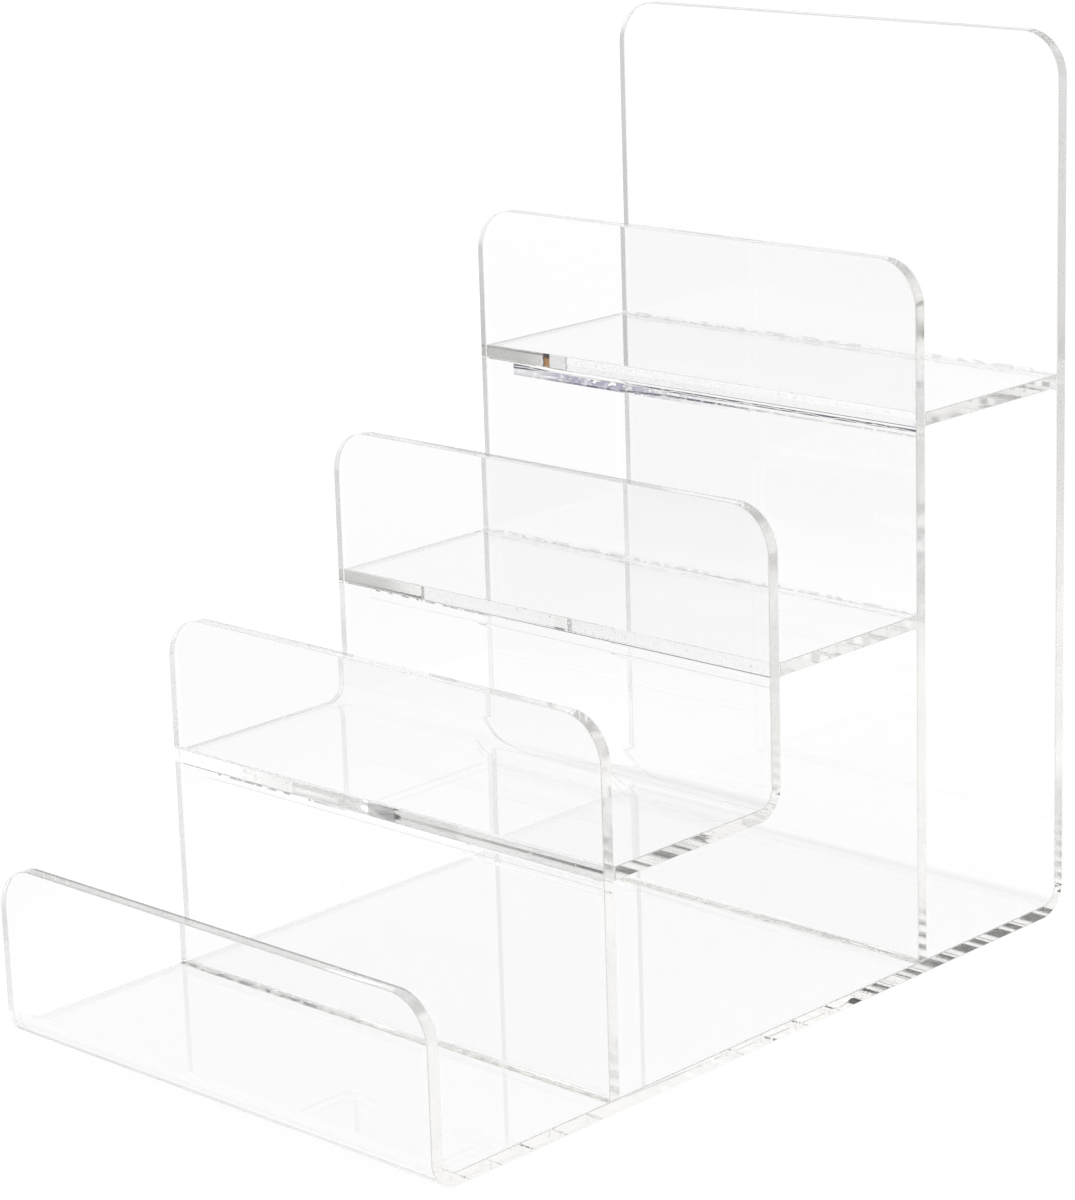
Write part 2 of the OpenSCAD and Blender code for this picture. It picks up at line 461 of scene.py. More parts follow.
def half_glued_material(name, dry_to, light, dark, glassy=1.0, rim=None, stain_at=None, haze=(1.0, 1.0),
                        frost=0.0, grey_part=None, blurred=None):
    """A glued edge that cement never reached at its left end: sawn and streaky, light to dark, up to
    x = dry_to. glassy is the share of it that isn't milky, rim the height of a dark line painted near the
    edge's broken corner (painted shade, in place of that corner's dark reflection), and from x = stain_at on
    the edge is stained, then white. Beyond dry_to light passes the cement film: haze is how much passes on
    the left and on the right, frost how grainy it is, grey_part where it is grey, and blurred the middle and
    half the length of a rough patch."""
    material, shader, g = principled(name, IOR=ACRYLIC_IOR, Transmission_Weight=glassy, Roughness=SAWN_ROUGH)
    place = g.place()
    across, _, height = g.split(place)
    streaks = g.noise(g.stretch(place, SAWN_STRETCH), EDGE_STREAKS, BROKEN)
    uneven = g.maths("SUBTRACT", g.noise(place, RAGGED, SMOOTH), NOISE_MIDDLE)
    tint = g.blend(g.rise(streaks, *NOISE_TURN), light, dark)
    # Painted shade: a wavy dark line near the edge's broken corner, fainter to the left, in place of that
    # corner's dark reflection
    if rim:
        wavy = g.maths("MULTIPLY_ADD", uneven, RIM_SHADE_WAVES, height)
        slant = g.ramp(across, -HALF_W, dry_to, RIM_SHADE_LEFT, 1.0)
        tint = g.blend(g.product(slant, g.line(wavy, rim, RIM_SHADE_HALF, RIM_SHADE_HALF)), tint, RIM_PAINTED_SHADE)
    if stain_at:
        tint = stained(g, tint, stain_at, across, height, uneven, streaks)
    g.link(tint, shader.inputs["Base Color"])

    clear = passing(material)
    grain = g.noise(place, FILM_SCALE, SMOOTH)
    hazy = g.ramp(across, dry_to, HALF_W, *haze)
    film = g.mix(g.rise(grain, *NOISE_TURN), g.product(hazy, hazy), 1.0)
    if grey_part:
        begin, end = grey_part
        greyed = g.product(g.rise(across, begin, begin + GREY_BEGINS), g.fall(across, end - GREY_ENDS, end))
        film = g.product(film, g.mix(greyed, 1.0, GREY_FILM))
    g.link(g.grey(film), clear.inputs[0])
    sawn = g.maths("LESS_THAN", across, g.maths("MULTIPLY_ADD", uneven, DRY_WANDER, dry_to))
    if frost:
        grainy = g.product(g.ramp(across, *FROST_BEGINS), g.ramp(across, *FROST_ENDS))
        sawn = g.highest(sawn, g.product(grainy, g.ramp(grain, *FROST_TURN, 0.0, 2 * frost)))
    if blurred:
        sawn = g.highest(sawn, g.product(g.line(across, *blurred, BLUR_SOFT), BLUR_SHARE))
    both = g.node("ShaderNodeMixShader", {0: sawn, 1: clear.outputs[0], 2: shader.outputs[0]})
    g.link(both.outputs[0], material.node_tree.nodes["Material Output"].inputs[0])
    return material


# Cement. Names that end in _GRAIN or _ALONG are ramps, (from, to, low, high), over a noise or along x
CEMENT_CLEAR = (0.975, 0.97, 0.975, 1)
CEMENT_CREAM = (0.965, 0.94, 0.885, 1)
CEMENT_LILAC = (0.17, 0.16, 0.27, 1)
CEMENT_DARK = (0.02, 0.017, 0.03, 1)
CLOUD_SCALE = 420.0
BREAK_SCALE = 1100.0
BREAK_STRETCH = (0.35, 1.0, 0.5)
ROUGH_GRAIN = (0.5, 0.8, 0.0, 0.18)
FLECK_TURN = (0.46, 0.56)
RUN_BEGINS = -55 * MM
RUN_SOFT = 0.3 * MM
LINE_HALF = 0.13 * MM
LINE_SOFT = 0.1 * MM
LOW_LINE_GRAIN = (0.3, 0.5, 0.14, 0.3)
DASH_DROP = 0.35 * MM
DASH_GRAIN = (0.47, 0.53, 0.0, 0.8)
DASH_FADE = 25 * MM


def cement_base(name):
    """The nodes that every cement begins with: clear and glossy, with clouds and a broken grain."""
    material, shader, g = principled(name, IOR=ACRYLIC_IOR, Transmission_Weight=1.0)
    place = g.place()
    across, _, height = g.split(place)
    cloud = g.noise(place, CLOUD_SCALE, CLOUDY)
    broken = g.noise(g.stretch(place, BREAK_STRETCH), BREAK_SCALE, BROKEN)
    g.link(g.ramp(cloud, *ROUGH_GRAIN), shader.inputs["Roughness"])
    return material, shader, g, across, height, cloud, broken


def cement_material(name, clear, flecks_left, flecks_right, fade_from, fade_to):
    """Dried solvent cement in a thin seam: clear, with dark flecks, more or fewer from left to right."""
    material, shader, g, across, _, _, broken = cement_base(name)
    share = g.ramp(across, fade_from, fade_to, flecks_left, flecks_right)
    flecks = g.product(g.rise(broken, *FLECK_TURN), share)
    g.link(g.blend(flecks, clear, CEMENT_DARK), shader.inputs["Base Color"])
    return material


def line_cement_material(name, underside, lower_drop, dash_to):
    """Cement that ran down in a thin clear layer below a tray's underside: a fine line along its lower end
    and dark dashes along the joint, up to x = dash_to."""
    material, shader, g, across, height, _, broken = cement_base(name)
    drop = g.maths("SUBTRACT", underside, height)
    lower = g.product(g.line(drop, lower_drop, LINE_HALF / 2, LINE_SOFT), g.ramp(broken, *LOW_LINE_GRAIN))
    dashes = g.product(g.line(drop, DASH_DROP, LINE_HALF, LINE_SOFT), g.ramp(broken, *DASH_GRAIN),
                       g.fall(across, dash_to - DASH_FADE, dash_to))
    dark = g.product(g.highest(lower, dashes), g.rise(across, RUN_BEGINS, RUN_BEGINS + RUN_SOFT))
    g.link(g.blend(dark, CEMENT_CLEAR, CEMENT_DARK), shader.inputs["Base Color"])
    return material


# The thick run under the fourth tray: its lilac body, the holes in it, and its rims
THICK_TOP = MM
BODY_SOFT = 0.15 * MM
BODY_GRAIN = (0.3, 0.55, 0.45, 1.0)
BODY_GROWS_ALONG = (RUN_BEGINS, -36 * MM, 0.5, 1.0)
BODY_FADES_ALONG = (-26 * MM, 18 * MM, 1.0, 0.0)
HOLE_GRAIN = (0.56, 0.6, 0.0, 1.0)
HOLES_ALONG = (-36 * MM, -30 * MM, 0.0, 1.0)
RING_AT = 0.565
RING_HALF = 0.008
RING_SOFT = 0.01
RINGS_BEGIN_ALONG = (-44 * MM, -36 * MM, 0.0, 0.9)
RINGS_END_ALONG = (-24 * MM, -8 * MM, 1.0, 0.0)
UPPER_GRAIN = (0.3, 0.45, 0.7, 1.0)
UPPER_THINS_ALONG = (RUN_BEGINS, RUN_BEGINS + 14 * MM, 0.4 * MM, 0.0)
UPPER_WIDENS_ALONG = (-30 * MM, -5 * MM, 0.0, 0.16 * MM)
UPPER_FADES_ALONG = (-46 * MM, -36 * MM, 1.0, 0.5)
UPPER_DARKENS_ALONG = (-34 * MM, -12 * MM, 0.3, 1.0)
APART_ALONG = (-34 * MM, 0.0, 1.9 * MM, 1.15 * MM)
LOWER_HALF = 1.4 * LINE_HALF
LOWER_GRAIN = (0.36, 0.48, 0.3, 1.0)
LOWER_DARKENS_ALONG = (-50 * MM, -32 * MM, 0.3, 1.0)
LOWER_FADES_ALONG = (4 * MM, 30 * MM, 1.0, 0.45)


def cloudy_cement_material(name, underside):
    """Cement that ran down below a tray's underside in a thick layer: lilac and cloudy on the left, with
    ringed holes further on, and dark rims along its top and its lower end."""
    material, shader, g, across, height, cloud, broken = cement_base(name)
    below = g.maths("SUBTRACT", underside - THICK_TOP, height)
    started = g.rise(across, RUN_BEGINS, RUN_BEGINS + RUN_SOFT)
    inside = g.product(g.rise(below, 0.0, BODY_SOFT), started)
    holes = g.product(g.ramp(broken, *HOLE_GRAIN), g.ramp(across, *HOLES_ALONG))
    body = g.product(g.ramp(cloud, *BODY_GRAIN), g.ramp(across, *BODY_GROWS_ALONG),
                     g.ramp(across, *BODY_FADES_ALONG), inside, g.maths("SUBTRACT", 1.0, holes))
    ringed = g.product(g.line(broken, RING_AT, RING_HALF, RING_SOFT), g.ramp(across, *RINGS_BEGIN_ALONG),
                       g.ramp(across, *RINGS_END_ALONG), inside)
    wide = g.maths("ADD", g.ramp(across, *UPPER_THINS_ALONG), g.ramp(across, *UPPER_WIDENS_ALONG))
    off_upper = g.maths("SUBTRACT", g.maths("ABSOLUTE", below), wide)
    share = g.highest(g.ramp(across, *UPPER_FADES_ALONG), g.ramp(across, *UPPER_DARKENS_ALONG))
    upper = g.product(g.fall(off_upper, LINE_HALF, LINE_HALF + LINE_SOFT), share,
                      g.ramp(broken, *UPPER_GRAIN))
    off_lower = g.maths("SUBTRACT", below, g.ramp(across, *APART_ALONG))
    lower = g.product(g.line(off_lower, 0.0, LOWER_HALF, LINE_SOFT), g.ramp(across, *LOWER_DARKENS_ALONG),
                      g.ramp(across, *LOWER_FADES_ALONG), g.ramp(broken, *LOWER_GRAIN))
    dark = g.product(g.highest(g.highest(upper, lower), ringed), started)
    body_tint = g.blend(body, CEMENT_CLEAR, CEMENT_LILAC)
    g.link(g.blend(dark, body_tint, CEMENT_DARK), shader.inputs["Base Color"])
    return material


# The finishes. First ranges of roughness, how dark the painted shade on the front and the rear arris of a top
# edge is, how many flecks a cement has on the left and on the right, and where the run's lower line and
# dashes are
POLISHED = (0.0, 0.02)
SATIN = (0.04, 0.12)
DULL = (0.1, 0.24)
FROSTED = (0.17, 0.34)
BASE_LINES = (0.4, 0.85)
BENT_LINES = (0.1, 0.5)
RISER_LINES = (0.05, 0.2)
NO_LINES = (0.0, 0.0)
ALL_DULL = -BEND_OUTER - SHEET_T
FLECKS_FADE = (-20 * MM, 10 * MM)
SEAM_FLECKS = (0.3, 0.3)
FLECKED_FLECKS = (0.85, 0.3)
CREAM_FLECKS = (0.1, 0.2)
LINE_TWO = 1.75 * MM
LINE_THREE = 2.3 * MM
DASHES_TO_TWO = 0.0
DASHES_TO_THREE = -5 * MM
faces = face_material()
base_edges = edge_material("base_edge", POLISHED, FROSTED, SHEET_T, BASE_LINES)
bent_edges = edge_material("second_riser_edge", POLISHED, FROSTED, two_low.z + SHEET_T, BENT_LINES)
riser_edges = edge_material("riser_edge", POLISHED, DULL, ALL_DULL, RISER_LINES)
tray_edges = edge_material("tray_edge", SATIN, SATIN, 0, NO_LINES)
cemented = cemented_material()
seam_cement = cement_material("seam_cement", CEMENT_CLEAR, *SEAM_FLECKS, -HALF_W, HALF_W)
flecked_cement = cement_material("flecked_cement", CEMENT_CREAM, *FLECKED_FLECKS, *FLECKS_FADE)
cream_cement = cement_material("cream_cement", CEMENT_CREAM, *CREAM_FLECKS, *FLECKS_FADE)
second_cement = line_cement_material("second_tray_cement", two_low.z, LINE_TWO, DASHES_TO_TWO)
third_cement = line_cement_material("third_tray_cement", shelf3_low.z, LINE_THREE, DASHES_TO_THREE)
fourth_cement = cloudy_cement_material("fourth_tray_cement", shelf4_low.z)


def dress(piece, node, edge, glued_edge=None):
    """Ties a sheet to its body, hides the CAD node that it stands in for, and gives it its finishes."""
    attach(piece, "root")
    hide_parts(node)
    for material in (faces, edge, cemented, glued_edge or cemented):
        piece.data.materials.append(material)


def covered(node, axis, place, top_bead=1.0):
    """Where a cement seam covers a sheet's face, as lengths along the sheet's path."""
    low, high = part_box(node)
    return place(low[axis]), place(high[axis] - (1 - top_bead) * BEAD_REACH)


quarter = BEND_MID * math.pi / 2

# The base: from the lip's top edge down, along the floor and up the back
lip_run = LIP_TOP - BEND_OUTER
floor_run = base_high.y - base_low.y - 2 * BEND_OUTER
back_run = base_high.z - BEND_OUTER
base_path = path_of((base_low.y + HALF_T, LIP_TOP), -math.pi / 2,
                    [("line", lip_run), ("bend", BEND_MID), ("line", floor_run), ("bend", BEND_MID),
                     ("line", back_run)])
floor_begin = lip_run + quarter
back_begin = floor_begin + floor_run + quarter


def on_floor(y):
    return floor_begin + y - (base_low.y + BEND_OUTER)


def on_back(z):
    return back_begin + z - BEND_OUTER


base_patches = [(*covered("cement_riser_one", 1, on_floor), 1),
                (*covered("cement_riser_three", 1, on_floor), 1),
                (*covered("cement_shelf_four_rear", 2, on_back), 1)]
dress(make_sheet("base_panel", base_path, (CORNER_R, CORNER_R), base_patches), "base_sheet", base_edges)

# Flat risers, from the foot up; their left side is the front face
one_path = path_of((one_low.y + HALF_T, one_low.z), math.pi / 2, [("line", one_high.z - one_low.z)])
one_patches = [(*covered("cement_shelf_two", 2, lambda z: z - one_low.z), -1)]
dress(make_sheet("first_riser", one_path, (FOOT_CORNER, CORNER_R), one_patches, (GLUED, None)), "riser_one",
      riser_edges)

three_path = path_of((three_low.y + HALF_T, three_low.z), math.pi / 2, [("line", three_high.z - three_low.z)])
three_patches = [(*covered("cement_shelf_three_rear", 2, lambda z: z - three_low.z), 1),
                 (*covered("cement_shelf_four_front", 2, lambda z: z - three_low.z, TOP_BEAD), -1)]
dress(make_sheet("third_riser", three_path, (FOOT_CORNER, CORNER_R), three_patches, (GLUED, None)),
      "riser_three", riser_edges)

# The trays' front edges: where the dry end ends and the stain begins, from the left side; as x, the grey
# part, and the middle and half the length of the blurred patches; and half_glued_material's other shares
DRY_TWO = 36 * MM
GREY_TWO = (-0.7 * MM, 22.9 * MM)
BLURRED_TWO = (GREY_TWO[0], 3.5 * MM)
DRY_THREE = 24.8 * MM
BLURRED_THREE = (3.2 * MM, MM)
HAZE_THREE = (0.96, 0.985)
FROST_THREE = 0.2
DRY_FOUR = 24.9 * MM
STAIN_FOUR = 17.9 * MM
GLASSY_FOUR = 0.75
HAZE_FOUR = (0.94, 0.98)
FROST_FOUR = 0.04

# The L-bent sheet, from its foot's front edge back and up
two_run = two_high.y - two_low.y - BEND_OUTER
two_rise = two_high.z - two_low.z - BEND_OUTER
two_path = path_of((two_low.y, two_low.z + HALF_T), 0.0,
                   [("line", two_run), ("bend", BEND_MID), ("line", two_rise)])
two_bend_top = two_low.z + BEND_OUTER


def on_upright(z):
    return two_run + quarter + z - two_bend_top


two_patches = [(*covered("cement_shelf_three_front", 2, on_upright, TOP_BEAD), -1)]
two_front = half_glued_material("second_tray_front_edge", DRY_TWO - HALF_W, WHITE_LIGHT, WHITE_DARK,
                                grey_part=GREY_TWO, blurred=BLURRED_TWO)
dress(make_sheet("second_riser", two_path, (FOOT_CORNER, CORNER_R), two_patches, (GLUED, None)), "riser_two",
      bent_edges, two_front)

# Flat trays
third_front = half_glued_material("third_tray_front_edge", DRY_THREE - HALF_W, SAWN_LIGHT, SAWN_DARK,
                                  rim=shelf3_low.z + RIM_SHADE_IN, haze=HAZE_THREE, frost=FROST_THREE,
                                  blurred=BLURRED_THREE)
fourth_front = half_glued_material("fourth_tray_front_edge", DRY_FOUR - HALF_W, SAWN_LIGHT, SAWN_DARK,
                                   glassy=GLASSY_FOUR, rim=shelf4_high.z - RIM_SHADE_IN,
                                   stain_at=STAIN_FOUR - HALF_W, haze=HAZE_FOUR, frost=FROST_FOUR)
for name, node, low, high, front in (
        ("third_tray", "shelf_three", shelf3_low, shelf3_high, third_front),
        ("fourth_tray", "shelf_four", shelf4_low, shelf4_high, fourth_front)):
    tray_path = path_of((low.y, low.z + HALF_T), 0.0, [("line", high.y - low.y)])
    dress(make_sheet(name, tray_path, (FOOT_CORNER, FOOT_CORNER), (), (LOW_BEAD, GLUED)), node, tray_edges,
          front)

# The cement seams
SEAM_STEP = 0.35 * MM
SEAM_CLEAR = 0.003 * MM
BEAD_POINTS = 9
RUN_POINTS = 34
RUN_SKIN = 0.015 * MM
FLANK = 0.35 * MM
BUBBLE_AROUND = 14
BUBBLE_ROWS = 8
BUBBLE_SHARE = 0.8
BUBBLE_FILM_SHARE = 0.36

# Kinds of faces of a seam: open to air, against a sheet, and the skin of a bubble
OPEN, AGAINST, BUBBLE = range(3)

# Lengths of the waves in the outline of the beads, and how deep the beads' faces are hollowed
FINE_WAVE = 2.2 * MM
FINE_SHARE = 0.6
FINER_WAVE = 0.8 * MM
FINER_SHARE = 0.4
BROAD_WAVE = 14 * MM
HOLLOW_LEAST = 0.06
HOLLOW_MORE = 0.36
HOLLOW_NEAR = (-0.2, 0.5)
HOLLOW_FAR = (-0.1, 0.5)

# The same for the run: how its lower end and its top wander, and the lumps on its face
RUN_END_SOFT = 0.6 * MM
RUN_RIGHT_END = (0.6 * MM, 1.4 * MM)
LOW_END_WAVE = 11 * MM
LOW_END_LEAST = 0.25
LOW_END_MORE = 0.5
LOW_END_RANGE = (-0.6, 0.8)
TOP_WANDER = 0.15 * MM
TOP_WAVE = 3 * MM
LUMP = (1.0 * MM, 0.7 * MM)
LUMP_SEED = 5.1
PATCH = (5 * MM, 2 * MM)
PATCH_SEED = 9.7
PATCH_RANGE = (-0.15, 0.25)

# Distances between the noises of two seeds, and what brings a noise to about -1 to 1
SEED_STEPS = (7.31, 3.17)
NOISE_GAIN = 1.6


def seam_profile(near, far, climb, near_climb, hollow, run):
    """The seam across its length: off is the distance from the middle of the glued edge, out the distance
    from the face that it is glued to. climb and near_climb are how far it climbs the edge's sides. Gives the
    points in order, and which of the steps between them are open to air."""
    points = [(-HALF_T - near, SEAM_CLEAR), (HALF_T + far, SEAM_CLEAR)]
    steps = RUN_POINTS if run else BEAD_POINTS
    for i in range(1, steps + 1):
        t = i / steps
        if run:
            off = far * (1 - t)
            out = SEAM_CLEAR + run(off) + (climb - run(0.0)) * max(0.0, 1 - off / climb) ** 2
        else:
            off = far * ((1 - t) ** 2 + 2 * t * (1 - t) * hollow[1])
            out = SEAM_CLEAR + (climb - SEAM_CLEAR) * (t * t + 2 * t * (1 - t) * hollow[1])
        points.append((HALF_T + off, out))
    far_open = range(1, len(points) - 1)
    points.append((HALF_T + SEAM_CLEAR, FILM_T - SEAM_CLEAR))
    points.append((-HALF_T - SEAM_CLEAR, FILM_T - SEAM_CLEAR))
    points.append((-HALF_T, near_climb))
    near_open = len(points) - 1
    for i in range(1, BEAD_POINTS):
        t = i / BEAD_POINTS
        points.append((-HALF_T - near * (t * t + 2 * t * (1 - t) * hollow[0]),
                       SEAM_CLEAR + (near_climb - SEAM_CLEAR) * ((1 - t) ** 2 + 2 * t * (1 - t) * hollow[0])))
    return points, {*far_open, *range(near_open, len(points))}


def rough(x, grain, seed):
    """Even noise along a seam, from about -1 to 1."""
    return noise.noise(Vector((x / grain, seed * SEED_STEPS[0], seed * SEED_STEPS[1]))) * NOISE_GAIN


def step(value, low, high):
    t = min(max((value - low) / (high - low), 0.0), 1.0)
    return t * t * (3 - 2 * t)


def bubble_faces(centre, radii, verts, faces, slots, place):
    """A hollow in the cement, its skin facing inwards."""
    around = BUBBLE_AROUND
    first = len(verts)
    x0, off0, out0 = centre
    verts.append(place(x0, off0, out0 - radii[2]))
    for r in range(1, BUBBLE_ROWS):
        b = math.pi * r / BUBBLE_ROWS
        for a in range(around):
            turn = 2 * math.pi * a / around
            verts.append(place(x0 + radii[0] * math.sin(b) * math.cos(turn),
                               off0 + radii[1] * math.sin(b) * math.sin(turn), out0 - radii[2] * math.cos(b)))
    verts.append(place(x0, off0, out0 + radii[2]))
    last = len(verts) - 1
    for a in range(around):
        b = (a + 1) % around
        faces.append((first, first + 1 + a, first + 1 + b))
        faces.append((last, last - around + b, last - around + a))
        slots.extend((BUBBLE, BUBBLE))
        for r in range(BUBBLE_ROWS - 2):
            low_row, high_row = first + 1 + r * around, first + 1 + (r + 1) * around
            faces.append((low_row + a, high_row + a, high_row + b, low_row + b))
            slots.append(BUBBLE)


def make_seam(name, node, kind, seed, finish, flow=None, bubbles=(), top_bead=1.0):
    """One joint's cement, along the whole width. kind says how it lies: floor, front or rear. flow is the
    cement that ran down: where it begins, its top, how thick it is on the left and on the right, and how
    uneven."""
    low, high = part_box(node)
    if kind == "floor":
        middle = (low.y + high.y) / 2
        near = far = (high.y - low.y) / 2 - HALF_T

        def place(x, off, out):
            return x, middle + off, low.z + out
    else:
        trays = {"cement_shelf_two": two_low, "cement_shelf_three_front": shelf3_low,
                 "cement_shelf_three_rear": shelf3_low, "cement_shelf_four_front": shelf4_low,
                 "cement_shelf_four_rear": shelf4_low}
        middle = trays[node].z + HALF_T
        near = (high.z - middle - HALF_T) * top_bead
        far = middle - HALF_T - low.z
        face, sign = (low.y, 1) if kind == "front" else (high.y, -1)

        def place(x, off, out):
            return x, face + sign * out, middle - off
    half_length = HALF_W - EDGE_BREAK
    count = round(2 * half_length / SEAM_STEP)
    verts, faces, slots = [], [], []
    for s in range(count + 1):
        x = -half_length + 2 * half_length * s / count
        fine = rough(x, FINE_WAVE, seed) * FINE_SHARE + rough(x, FINER_WAVE, seed + 0.5) * FINER_SHARE
        broad = rough(x, BROAD_WAVE, seed + 1.5)
        hollow = (HOLLOW_LEAST + HOLLOW_MORE * step(broad + fine, *HOLLOW_NEAR),
                  HOLLOW_LEAST + HOLLOW_MORE * step(broad - fine, *HOLLOW_FAR))
        run = None
        if flow:
            begin, top, thick_left, thick_right, waves = flow
            ends = step(x, begin, begin + RUN_END_SOFT) * step(half_length - x, *RUN_RIGHT_END)
            lean = (x + half_length) / (2 * half_length)
            thick = ends * (thick_left + (thick_right - thick_left) * lean)
            lift = LOW_END_LEAST + LOW_END_MORE * step(rough(x, LOW_END_WAVE, seed + 2.5), *LOW_END_RANGE)
            low_end = far - lift * MM
            high_end = top + TOP_WANDER * rough(x, TOP_WAVE, seed + 3.5)

            def run(off):
                wave = noise.noise(Vector((x / LUMP[0], off / LUMP[1], seed * LUMP_SEED)))
                patch = noise.noise(Vector((x / PATCH[0], off / PATCH[1], seed * PATCH_SEED)))
                shape = step(off, high_end, high_end + FLANK) * (1 - step(off, low_end - FLANK, low_end))
                return RUN_SKIN + thick * shape * (1 + waves * wave * step(patch, *PATCH_RANGE))
        profile, open_steps = seam_profile(near, far, GLUED_H, GLUED_H * top_bead, hollow, run)
        verts += [place(x, off, out) for off, out in profile]
    ring = len(profile)
    for s in range(count):
        for i in range(ring):
            j = (i + 1) % ring
            faces.append((s * ring + i, s * ring + j, (s + 1) * ring + j, (s + 1) * ring + i))
            slots.append(OPEN if i in open_steps else AGAINST)
    faces.append(tuple(range(ring - 1, -1, -1)))
    faces.append(tuple(count * ring + i for i in range(ring)))
    slots += [OPEN, OPEN]
    for x, off, size in bubbles:
        radii = (size, size * BUBBLE_SHARE, FILM_T * BUBBLE_FILM_SHARE)
        bubble_faces((x, off, FILM_T / 2), radii, verts, faces, slots, place)
    mesh = bpy.data.meshes.new(name)
    mesh.from_pydata(verts, [], faces)
    for polygon, slot in zip(mesh.polygons, slots):
        polygon.material_index = 1 if slot == AGAINST else 0
        polygon.use_smooth = slot != AGAINST and len(polygon.vertices) <= 4
    shell = bmesh.new()
    shell.from_mesh(mesh)
    shell.faces.ensure_lookup_table()
    body = [f for f, slot in zip(shell.faces, slots) if slot != BUBBLE]
    hollows = [f for f, slot in zip(shell.faces, slots) if slot == BUBBLE]
    bmesh.ops.recalc_face_normals(shell, faces=body)
    bmesh.ops.recalc_face_normals(shell, faces=hollows)
    bmesh.ops.reverse_faces(shell, faces=hollows)
    for edge in shell.edges:
        edge.smooth = len({f.material_index for f in edge.link_faces}) == 1
    shell.to_mesh(mesh)
    shell.free()
    piece = bpy.data.objects.new(name, mesh)
    bpy.context.scene.collection.objects.link(piece)
    for material in (finish, cemented):
        mesh.materials.append(material)
    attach(piece, "root")
    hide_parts(node)


BUBBLES_ACROSS = 60 * MM
BUBBLES_OFF = 1.2
BUBBLE_SIZES = (0.08, 0.32)


def scattered(seed, count):
    """Small bubbles at random places of a film."""
    dice = random.Random(seed)
    return [(dice.uniform(-BUBBLES_ACROSS, BUBBLES_ACROSS), dice.uniform(-BUBBLES_OFF, BUBBLES_OFF) * MM,
             dice.uniform(*BUBBLE_SIZES) * MM) for _ in range(count)]


# Where the run begins, its top, its thickness on the left and on the right, and how uneven it is
THIN_FLOW = (-52 * MM, -MM, 0.1 * MM, 0.1 * MM, 0.1)
THICK_FLOW = (RUN_BEGINS, 0.9 * MM, 0.3 * MM, 0.2 * MM, 0.4)
BIG_BUBBLES = [(-42.1 * MM, -0.7 * MM, 0.8 * MM), (-38.9 * MM, 0.1 * MM, 0.7 * MM)]
make_seam("seam_first_riser", "cement_riser_one", "floor", 1, flecked_cement, None, scattered(11, 60))
make_seam("seam_third_riser", "cement_riser_three", "floor", 2, cream_cement, None, scattered(12, 40))
make_seam("seam_second_tray", "cement_shelf_two", "front", 3, second_cement, THIN_FLOW,
          BIG_BUBBLES + scattered(13, 50))
make_seam("seam_third_tray_front", "cement_shelf_three_front", "front", 4, third_cement, THIN_FLOW,
          scattered(14, 50), TOP_BEAD)
make_seam("seam_third_tray_rear", "cement_shelf_three_rear", "rear", 5, seam_cement, None, scattered(15, 50))
make_seam("seam_fourth_tray_front", "cement_shelf_four_front", "front", 6, fourth_cement, THICK_FLOW,
          scattered(16, 50), TOP_BEAD)
make_seam("seam_fourth_tray_rear", "cement_shelf_four_rear", "rear", 7, seam_cement, None, scattered(17, 40))

# The camera's direction comes first, because the stage is laid out along it
CAMERA_AZIMUTH = math.radians(43.800)
BEHIND = Vector((-math.sin(CAMERA_AZIMUTH), math.cos(CAMERA_AZIMUTH), 0))
TO_RIGHT = Vector((math.cos(CAMERA_AZIMUTH), math.sin(CAMERA_AZIMUTH), 0))

# The stage: a pale lit table a hair under the part. Its colour and its glow carry a painted pool of light,
# palest along the camera's axis, with painted shade to both sides. Ranges are distances off that axis, or
# from the middle for FAR_RANGE, over which it dims
FLOOR_GAP = 0.05 * MM
FLOOR_SIZE = 12.0
FLOOR_ROUGH = 0.9
TABLE_GLOW = 0.936
TABLE_WHITE = 0.05
RIGHT_RANGE = (0.14, 0.46)
DIM_RIGHT = 0.58
LEFT_RANGE = (-0.1, -0.32)
DIM_LEFT = 0.5
FAR_RANGE = (1.1, 1.35)
FAR_LEFT = 0.7
FAN_OUT = 1.2
floor_mesh = bpy.data.meshes.new("floor")
half = FLOOR_SIZE / 2
corners = [(-half, -half, 0), (half, -half, 0), (half, half, 0), (-half, half, 0)]
floor_mesh.from_pydata(corners, [], [(0, 1, 2, 3)])
floor = bpy.data.objects.new("floor", floor_mesh)
floor.location.z = -FLOOR_GAP
bpy.context.scene.collection.objects.link(floor)
floor_material = bpy.data.materials.new("floor")
floor_material.use_nodes = True
floor_mesh.materials.append(floor_material)
g = Graph(floor_material.node_tree)
shader = floor_material.node_tree.nodes["Principled BSDF"]
spot = g.place()
depth = g.maths("ABSOLUTE", g.along(spot, BEHIND))
widening = g.maths("ADD", g.product(depth, FAN_OUT), 1.0)
aside = g.maths("DIVIDE", g.along(spot, TO_RIGHT), widening)
far_off = g.node("ShaderNodeVectorMath", {0: spot}, operation="LENGTH").outputs["Value"]
# Painted pool of light: the table's colour and glow both fall off to the sides of the camera's axis, to
# DIM_RIGHT on the right and DIM_LEFT on the left, rising to FAR_LEFT far off
left_end = g.ramp(far_off, *FAR_RANGE, DIM_LEFT, FAR_LEFT)
pool_right = g.ramp(aside, *RIGHT_RANGE, 1.0, DIM_RIGHT)
pool_left = g.mix(g.rise(aside, *LEFT_RANGE), 1.0, left_end)
light_pool = g.product(pool_right, pool_left)
white = g.product(light_pool, TABLE_WHITE)
tone = g.node("ShaderNodeCombineXYZ", {0: white, 1: white, 2: white}).outputs[0]
g.link(tone, shader.inputs["Base Color"])
shader.inputs["Roughness"].default_value = FLOOR_ROUGH
shader.inputs["Emission Color"].default_value = (1, 1, 1, 1)
g.link(g.product(light_pool, TABLE_GLOW), shader.inputs["Emission Strength"])

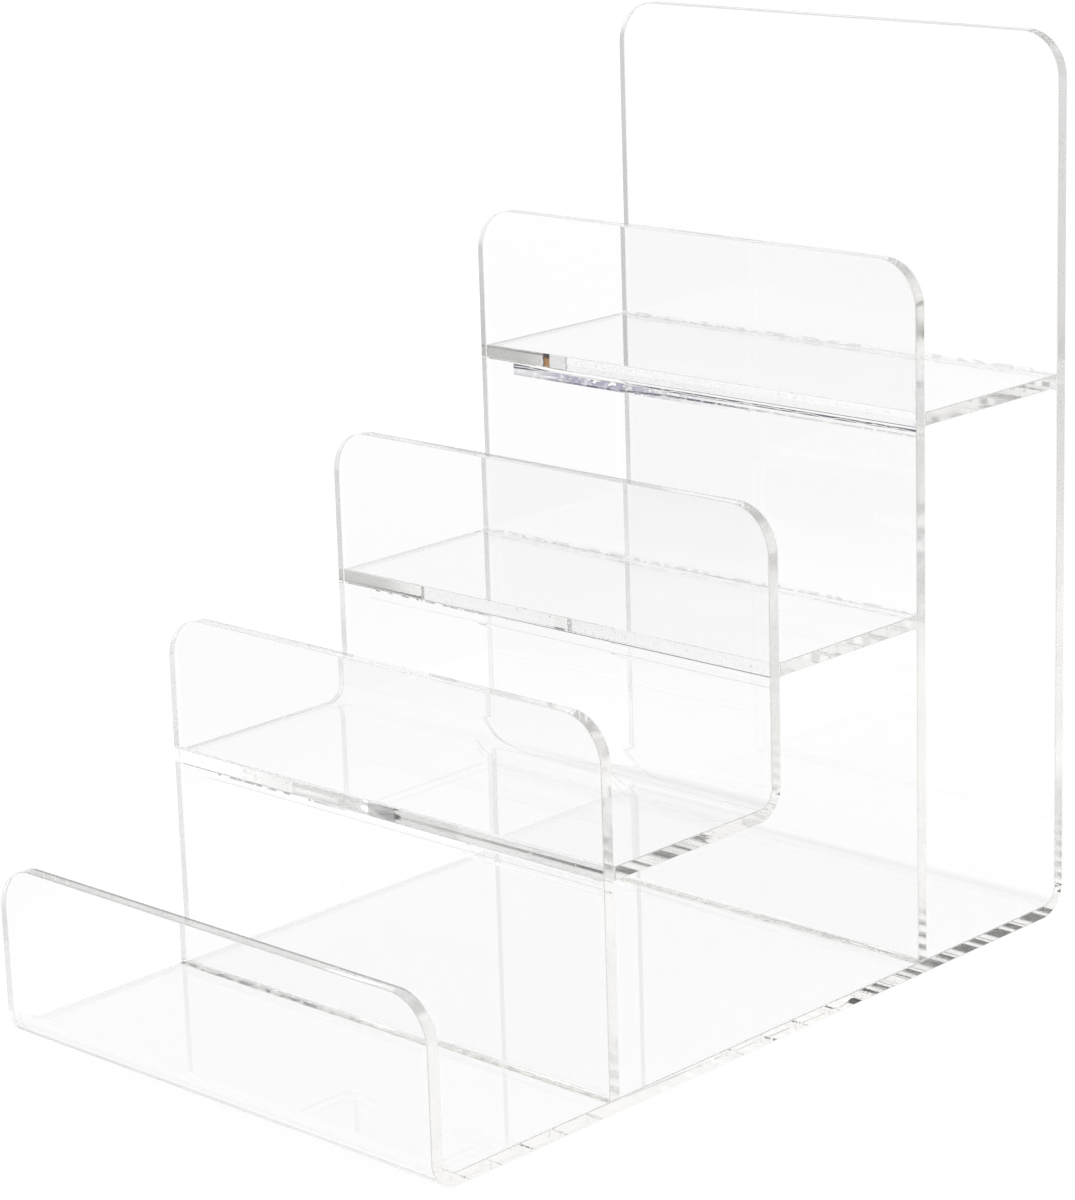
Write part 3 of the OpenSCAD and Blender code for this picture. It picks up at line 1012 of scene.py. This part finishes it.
# The room: pale walls, darker on the right, and a broad light overhead that stops short on the left
LIGHT_ABOVE = 2.0
LIGHT_RANGE = (math.sin(math.radians(46)), math.sin(math.radians(50)))
WALL = 1.0
WALL_DARK = 0.5
WALL_RANGE = (0.35, 0.7)
UNLIT = 0.01
UNLIT_RANGE = (0.25, 0.4)
UNLIT_WAY = Vector((-1, 0, 0))
world = bpy.data.worlds.new("room")
bpy.context.scene.world = world
world.use_nodes = True
g = Graph(world.node_tree)
way = g.node("ShaderNodeTexCoord").outputs["Generated"]
wall = g.ramp(g.along(way, TO_RIGHT), *WALL_RANGE, WALL, WALL_DARK)
above = g.ramp(g.along(way, UNLIT_WAY), *UNLIT_RANGE, LIGHT_ABOVE, UNLIT)
glow = g.mix(g.rise(g.along(way, UPWARD), *LIGHT_RANGE), wall, above)
background = world.node_tree.nodes["Background"]
background.inputs[0].default_value = (1, 1, 1, 1)
g.link(glow, background.inputs[1])

# The camera stands where the photograph was taken from
CAMERA_ELEVATION = math.radians(15.270)
CAMERA_ROLL = math.radians(-1.811)
CAMERA_DISTANCE = 807.22 * MM
CAMERA_AIM = Vector((0, 0, 100 * MM))
CAMERA_AIM_RIGHT = -1.053 * MM
CAMERA_AIM_UP = -14.322 * MM
FOCAL_PX = 3783.0
PHOTO_LONG_PX = 1200
SENSOR = 36.0
NEAREST = 0.01
FARTHEST = 100.0

back = Vector((math.sin(CAMERA_AZIMUTH) * math.cos(CAMERA_ELEVATION),
               -math.cos(CAMERA_AZIMUTH) * math.cos(CAMERA_ELEVATION), math.sin(CAMERA_ELEVATION)))
up = back.cross(TO_RIGHT)
right = TO_RIGHT * math.cos(CAMERA_ROLL) + up * math.sin(CAMERA_ROLL)
upright = back.cross(right)
camera_data = bpy.data.cameras.new("camera")
camera = bpy.data.objects.new("camera", camera_data)
camera_data.sensor_width = SENSOR
camera_data.lens = FOCAL_PX / PHOTO_LONG_PX * SENSOR
camera_data.clip_start = NEAREST
camera_data.clip_end = FARTHEST
stand = CAMERA_AIM + TO_RIGHT * CAMERA_AIM_RIGHT + up * CAMERA_AIM_UP + back * CAMERA_DISTANCE
camera.matrix_world = Matrix.Translation(stand) @ Matrix((right, upright, back)).transposed().to_4x4()
bpy.context.scene.collection.objects.link(camera)
bpy.context.scene.camera = camera

# Light crosses many clear faces on its way, so its paths may be long
CLEAR_BOUNCES = 128
DIFFUSE_BOUNCES = 4
STRAIGHT_BOUNCES = 48
scene = bpy.context.scene
scene.view_settings.view_transform = "Standard"
scene.view_settings.look = "None"
scene.cycles.max_bounces = CLEAR_BOUNCES
scene.cycles.transmission_bounces = CLEAR_BOUNCES
scene.cycles.glossy_bounces = CLEAR_BOUNCES
scene.cycles.diffuse_bounces = DIFFUSE_BOUNCES
scene.cycles.transparent_max_bounces = STRAIGHT_BOUNCES
scene.cycles.use_denoising = True
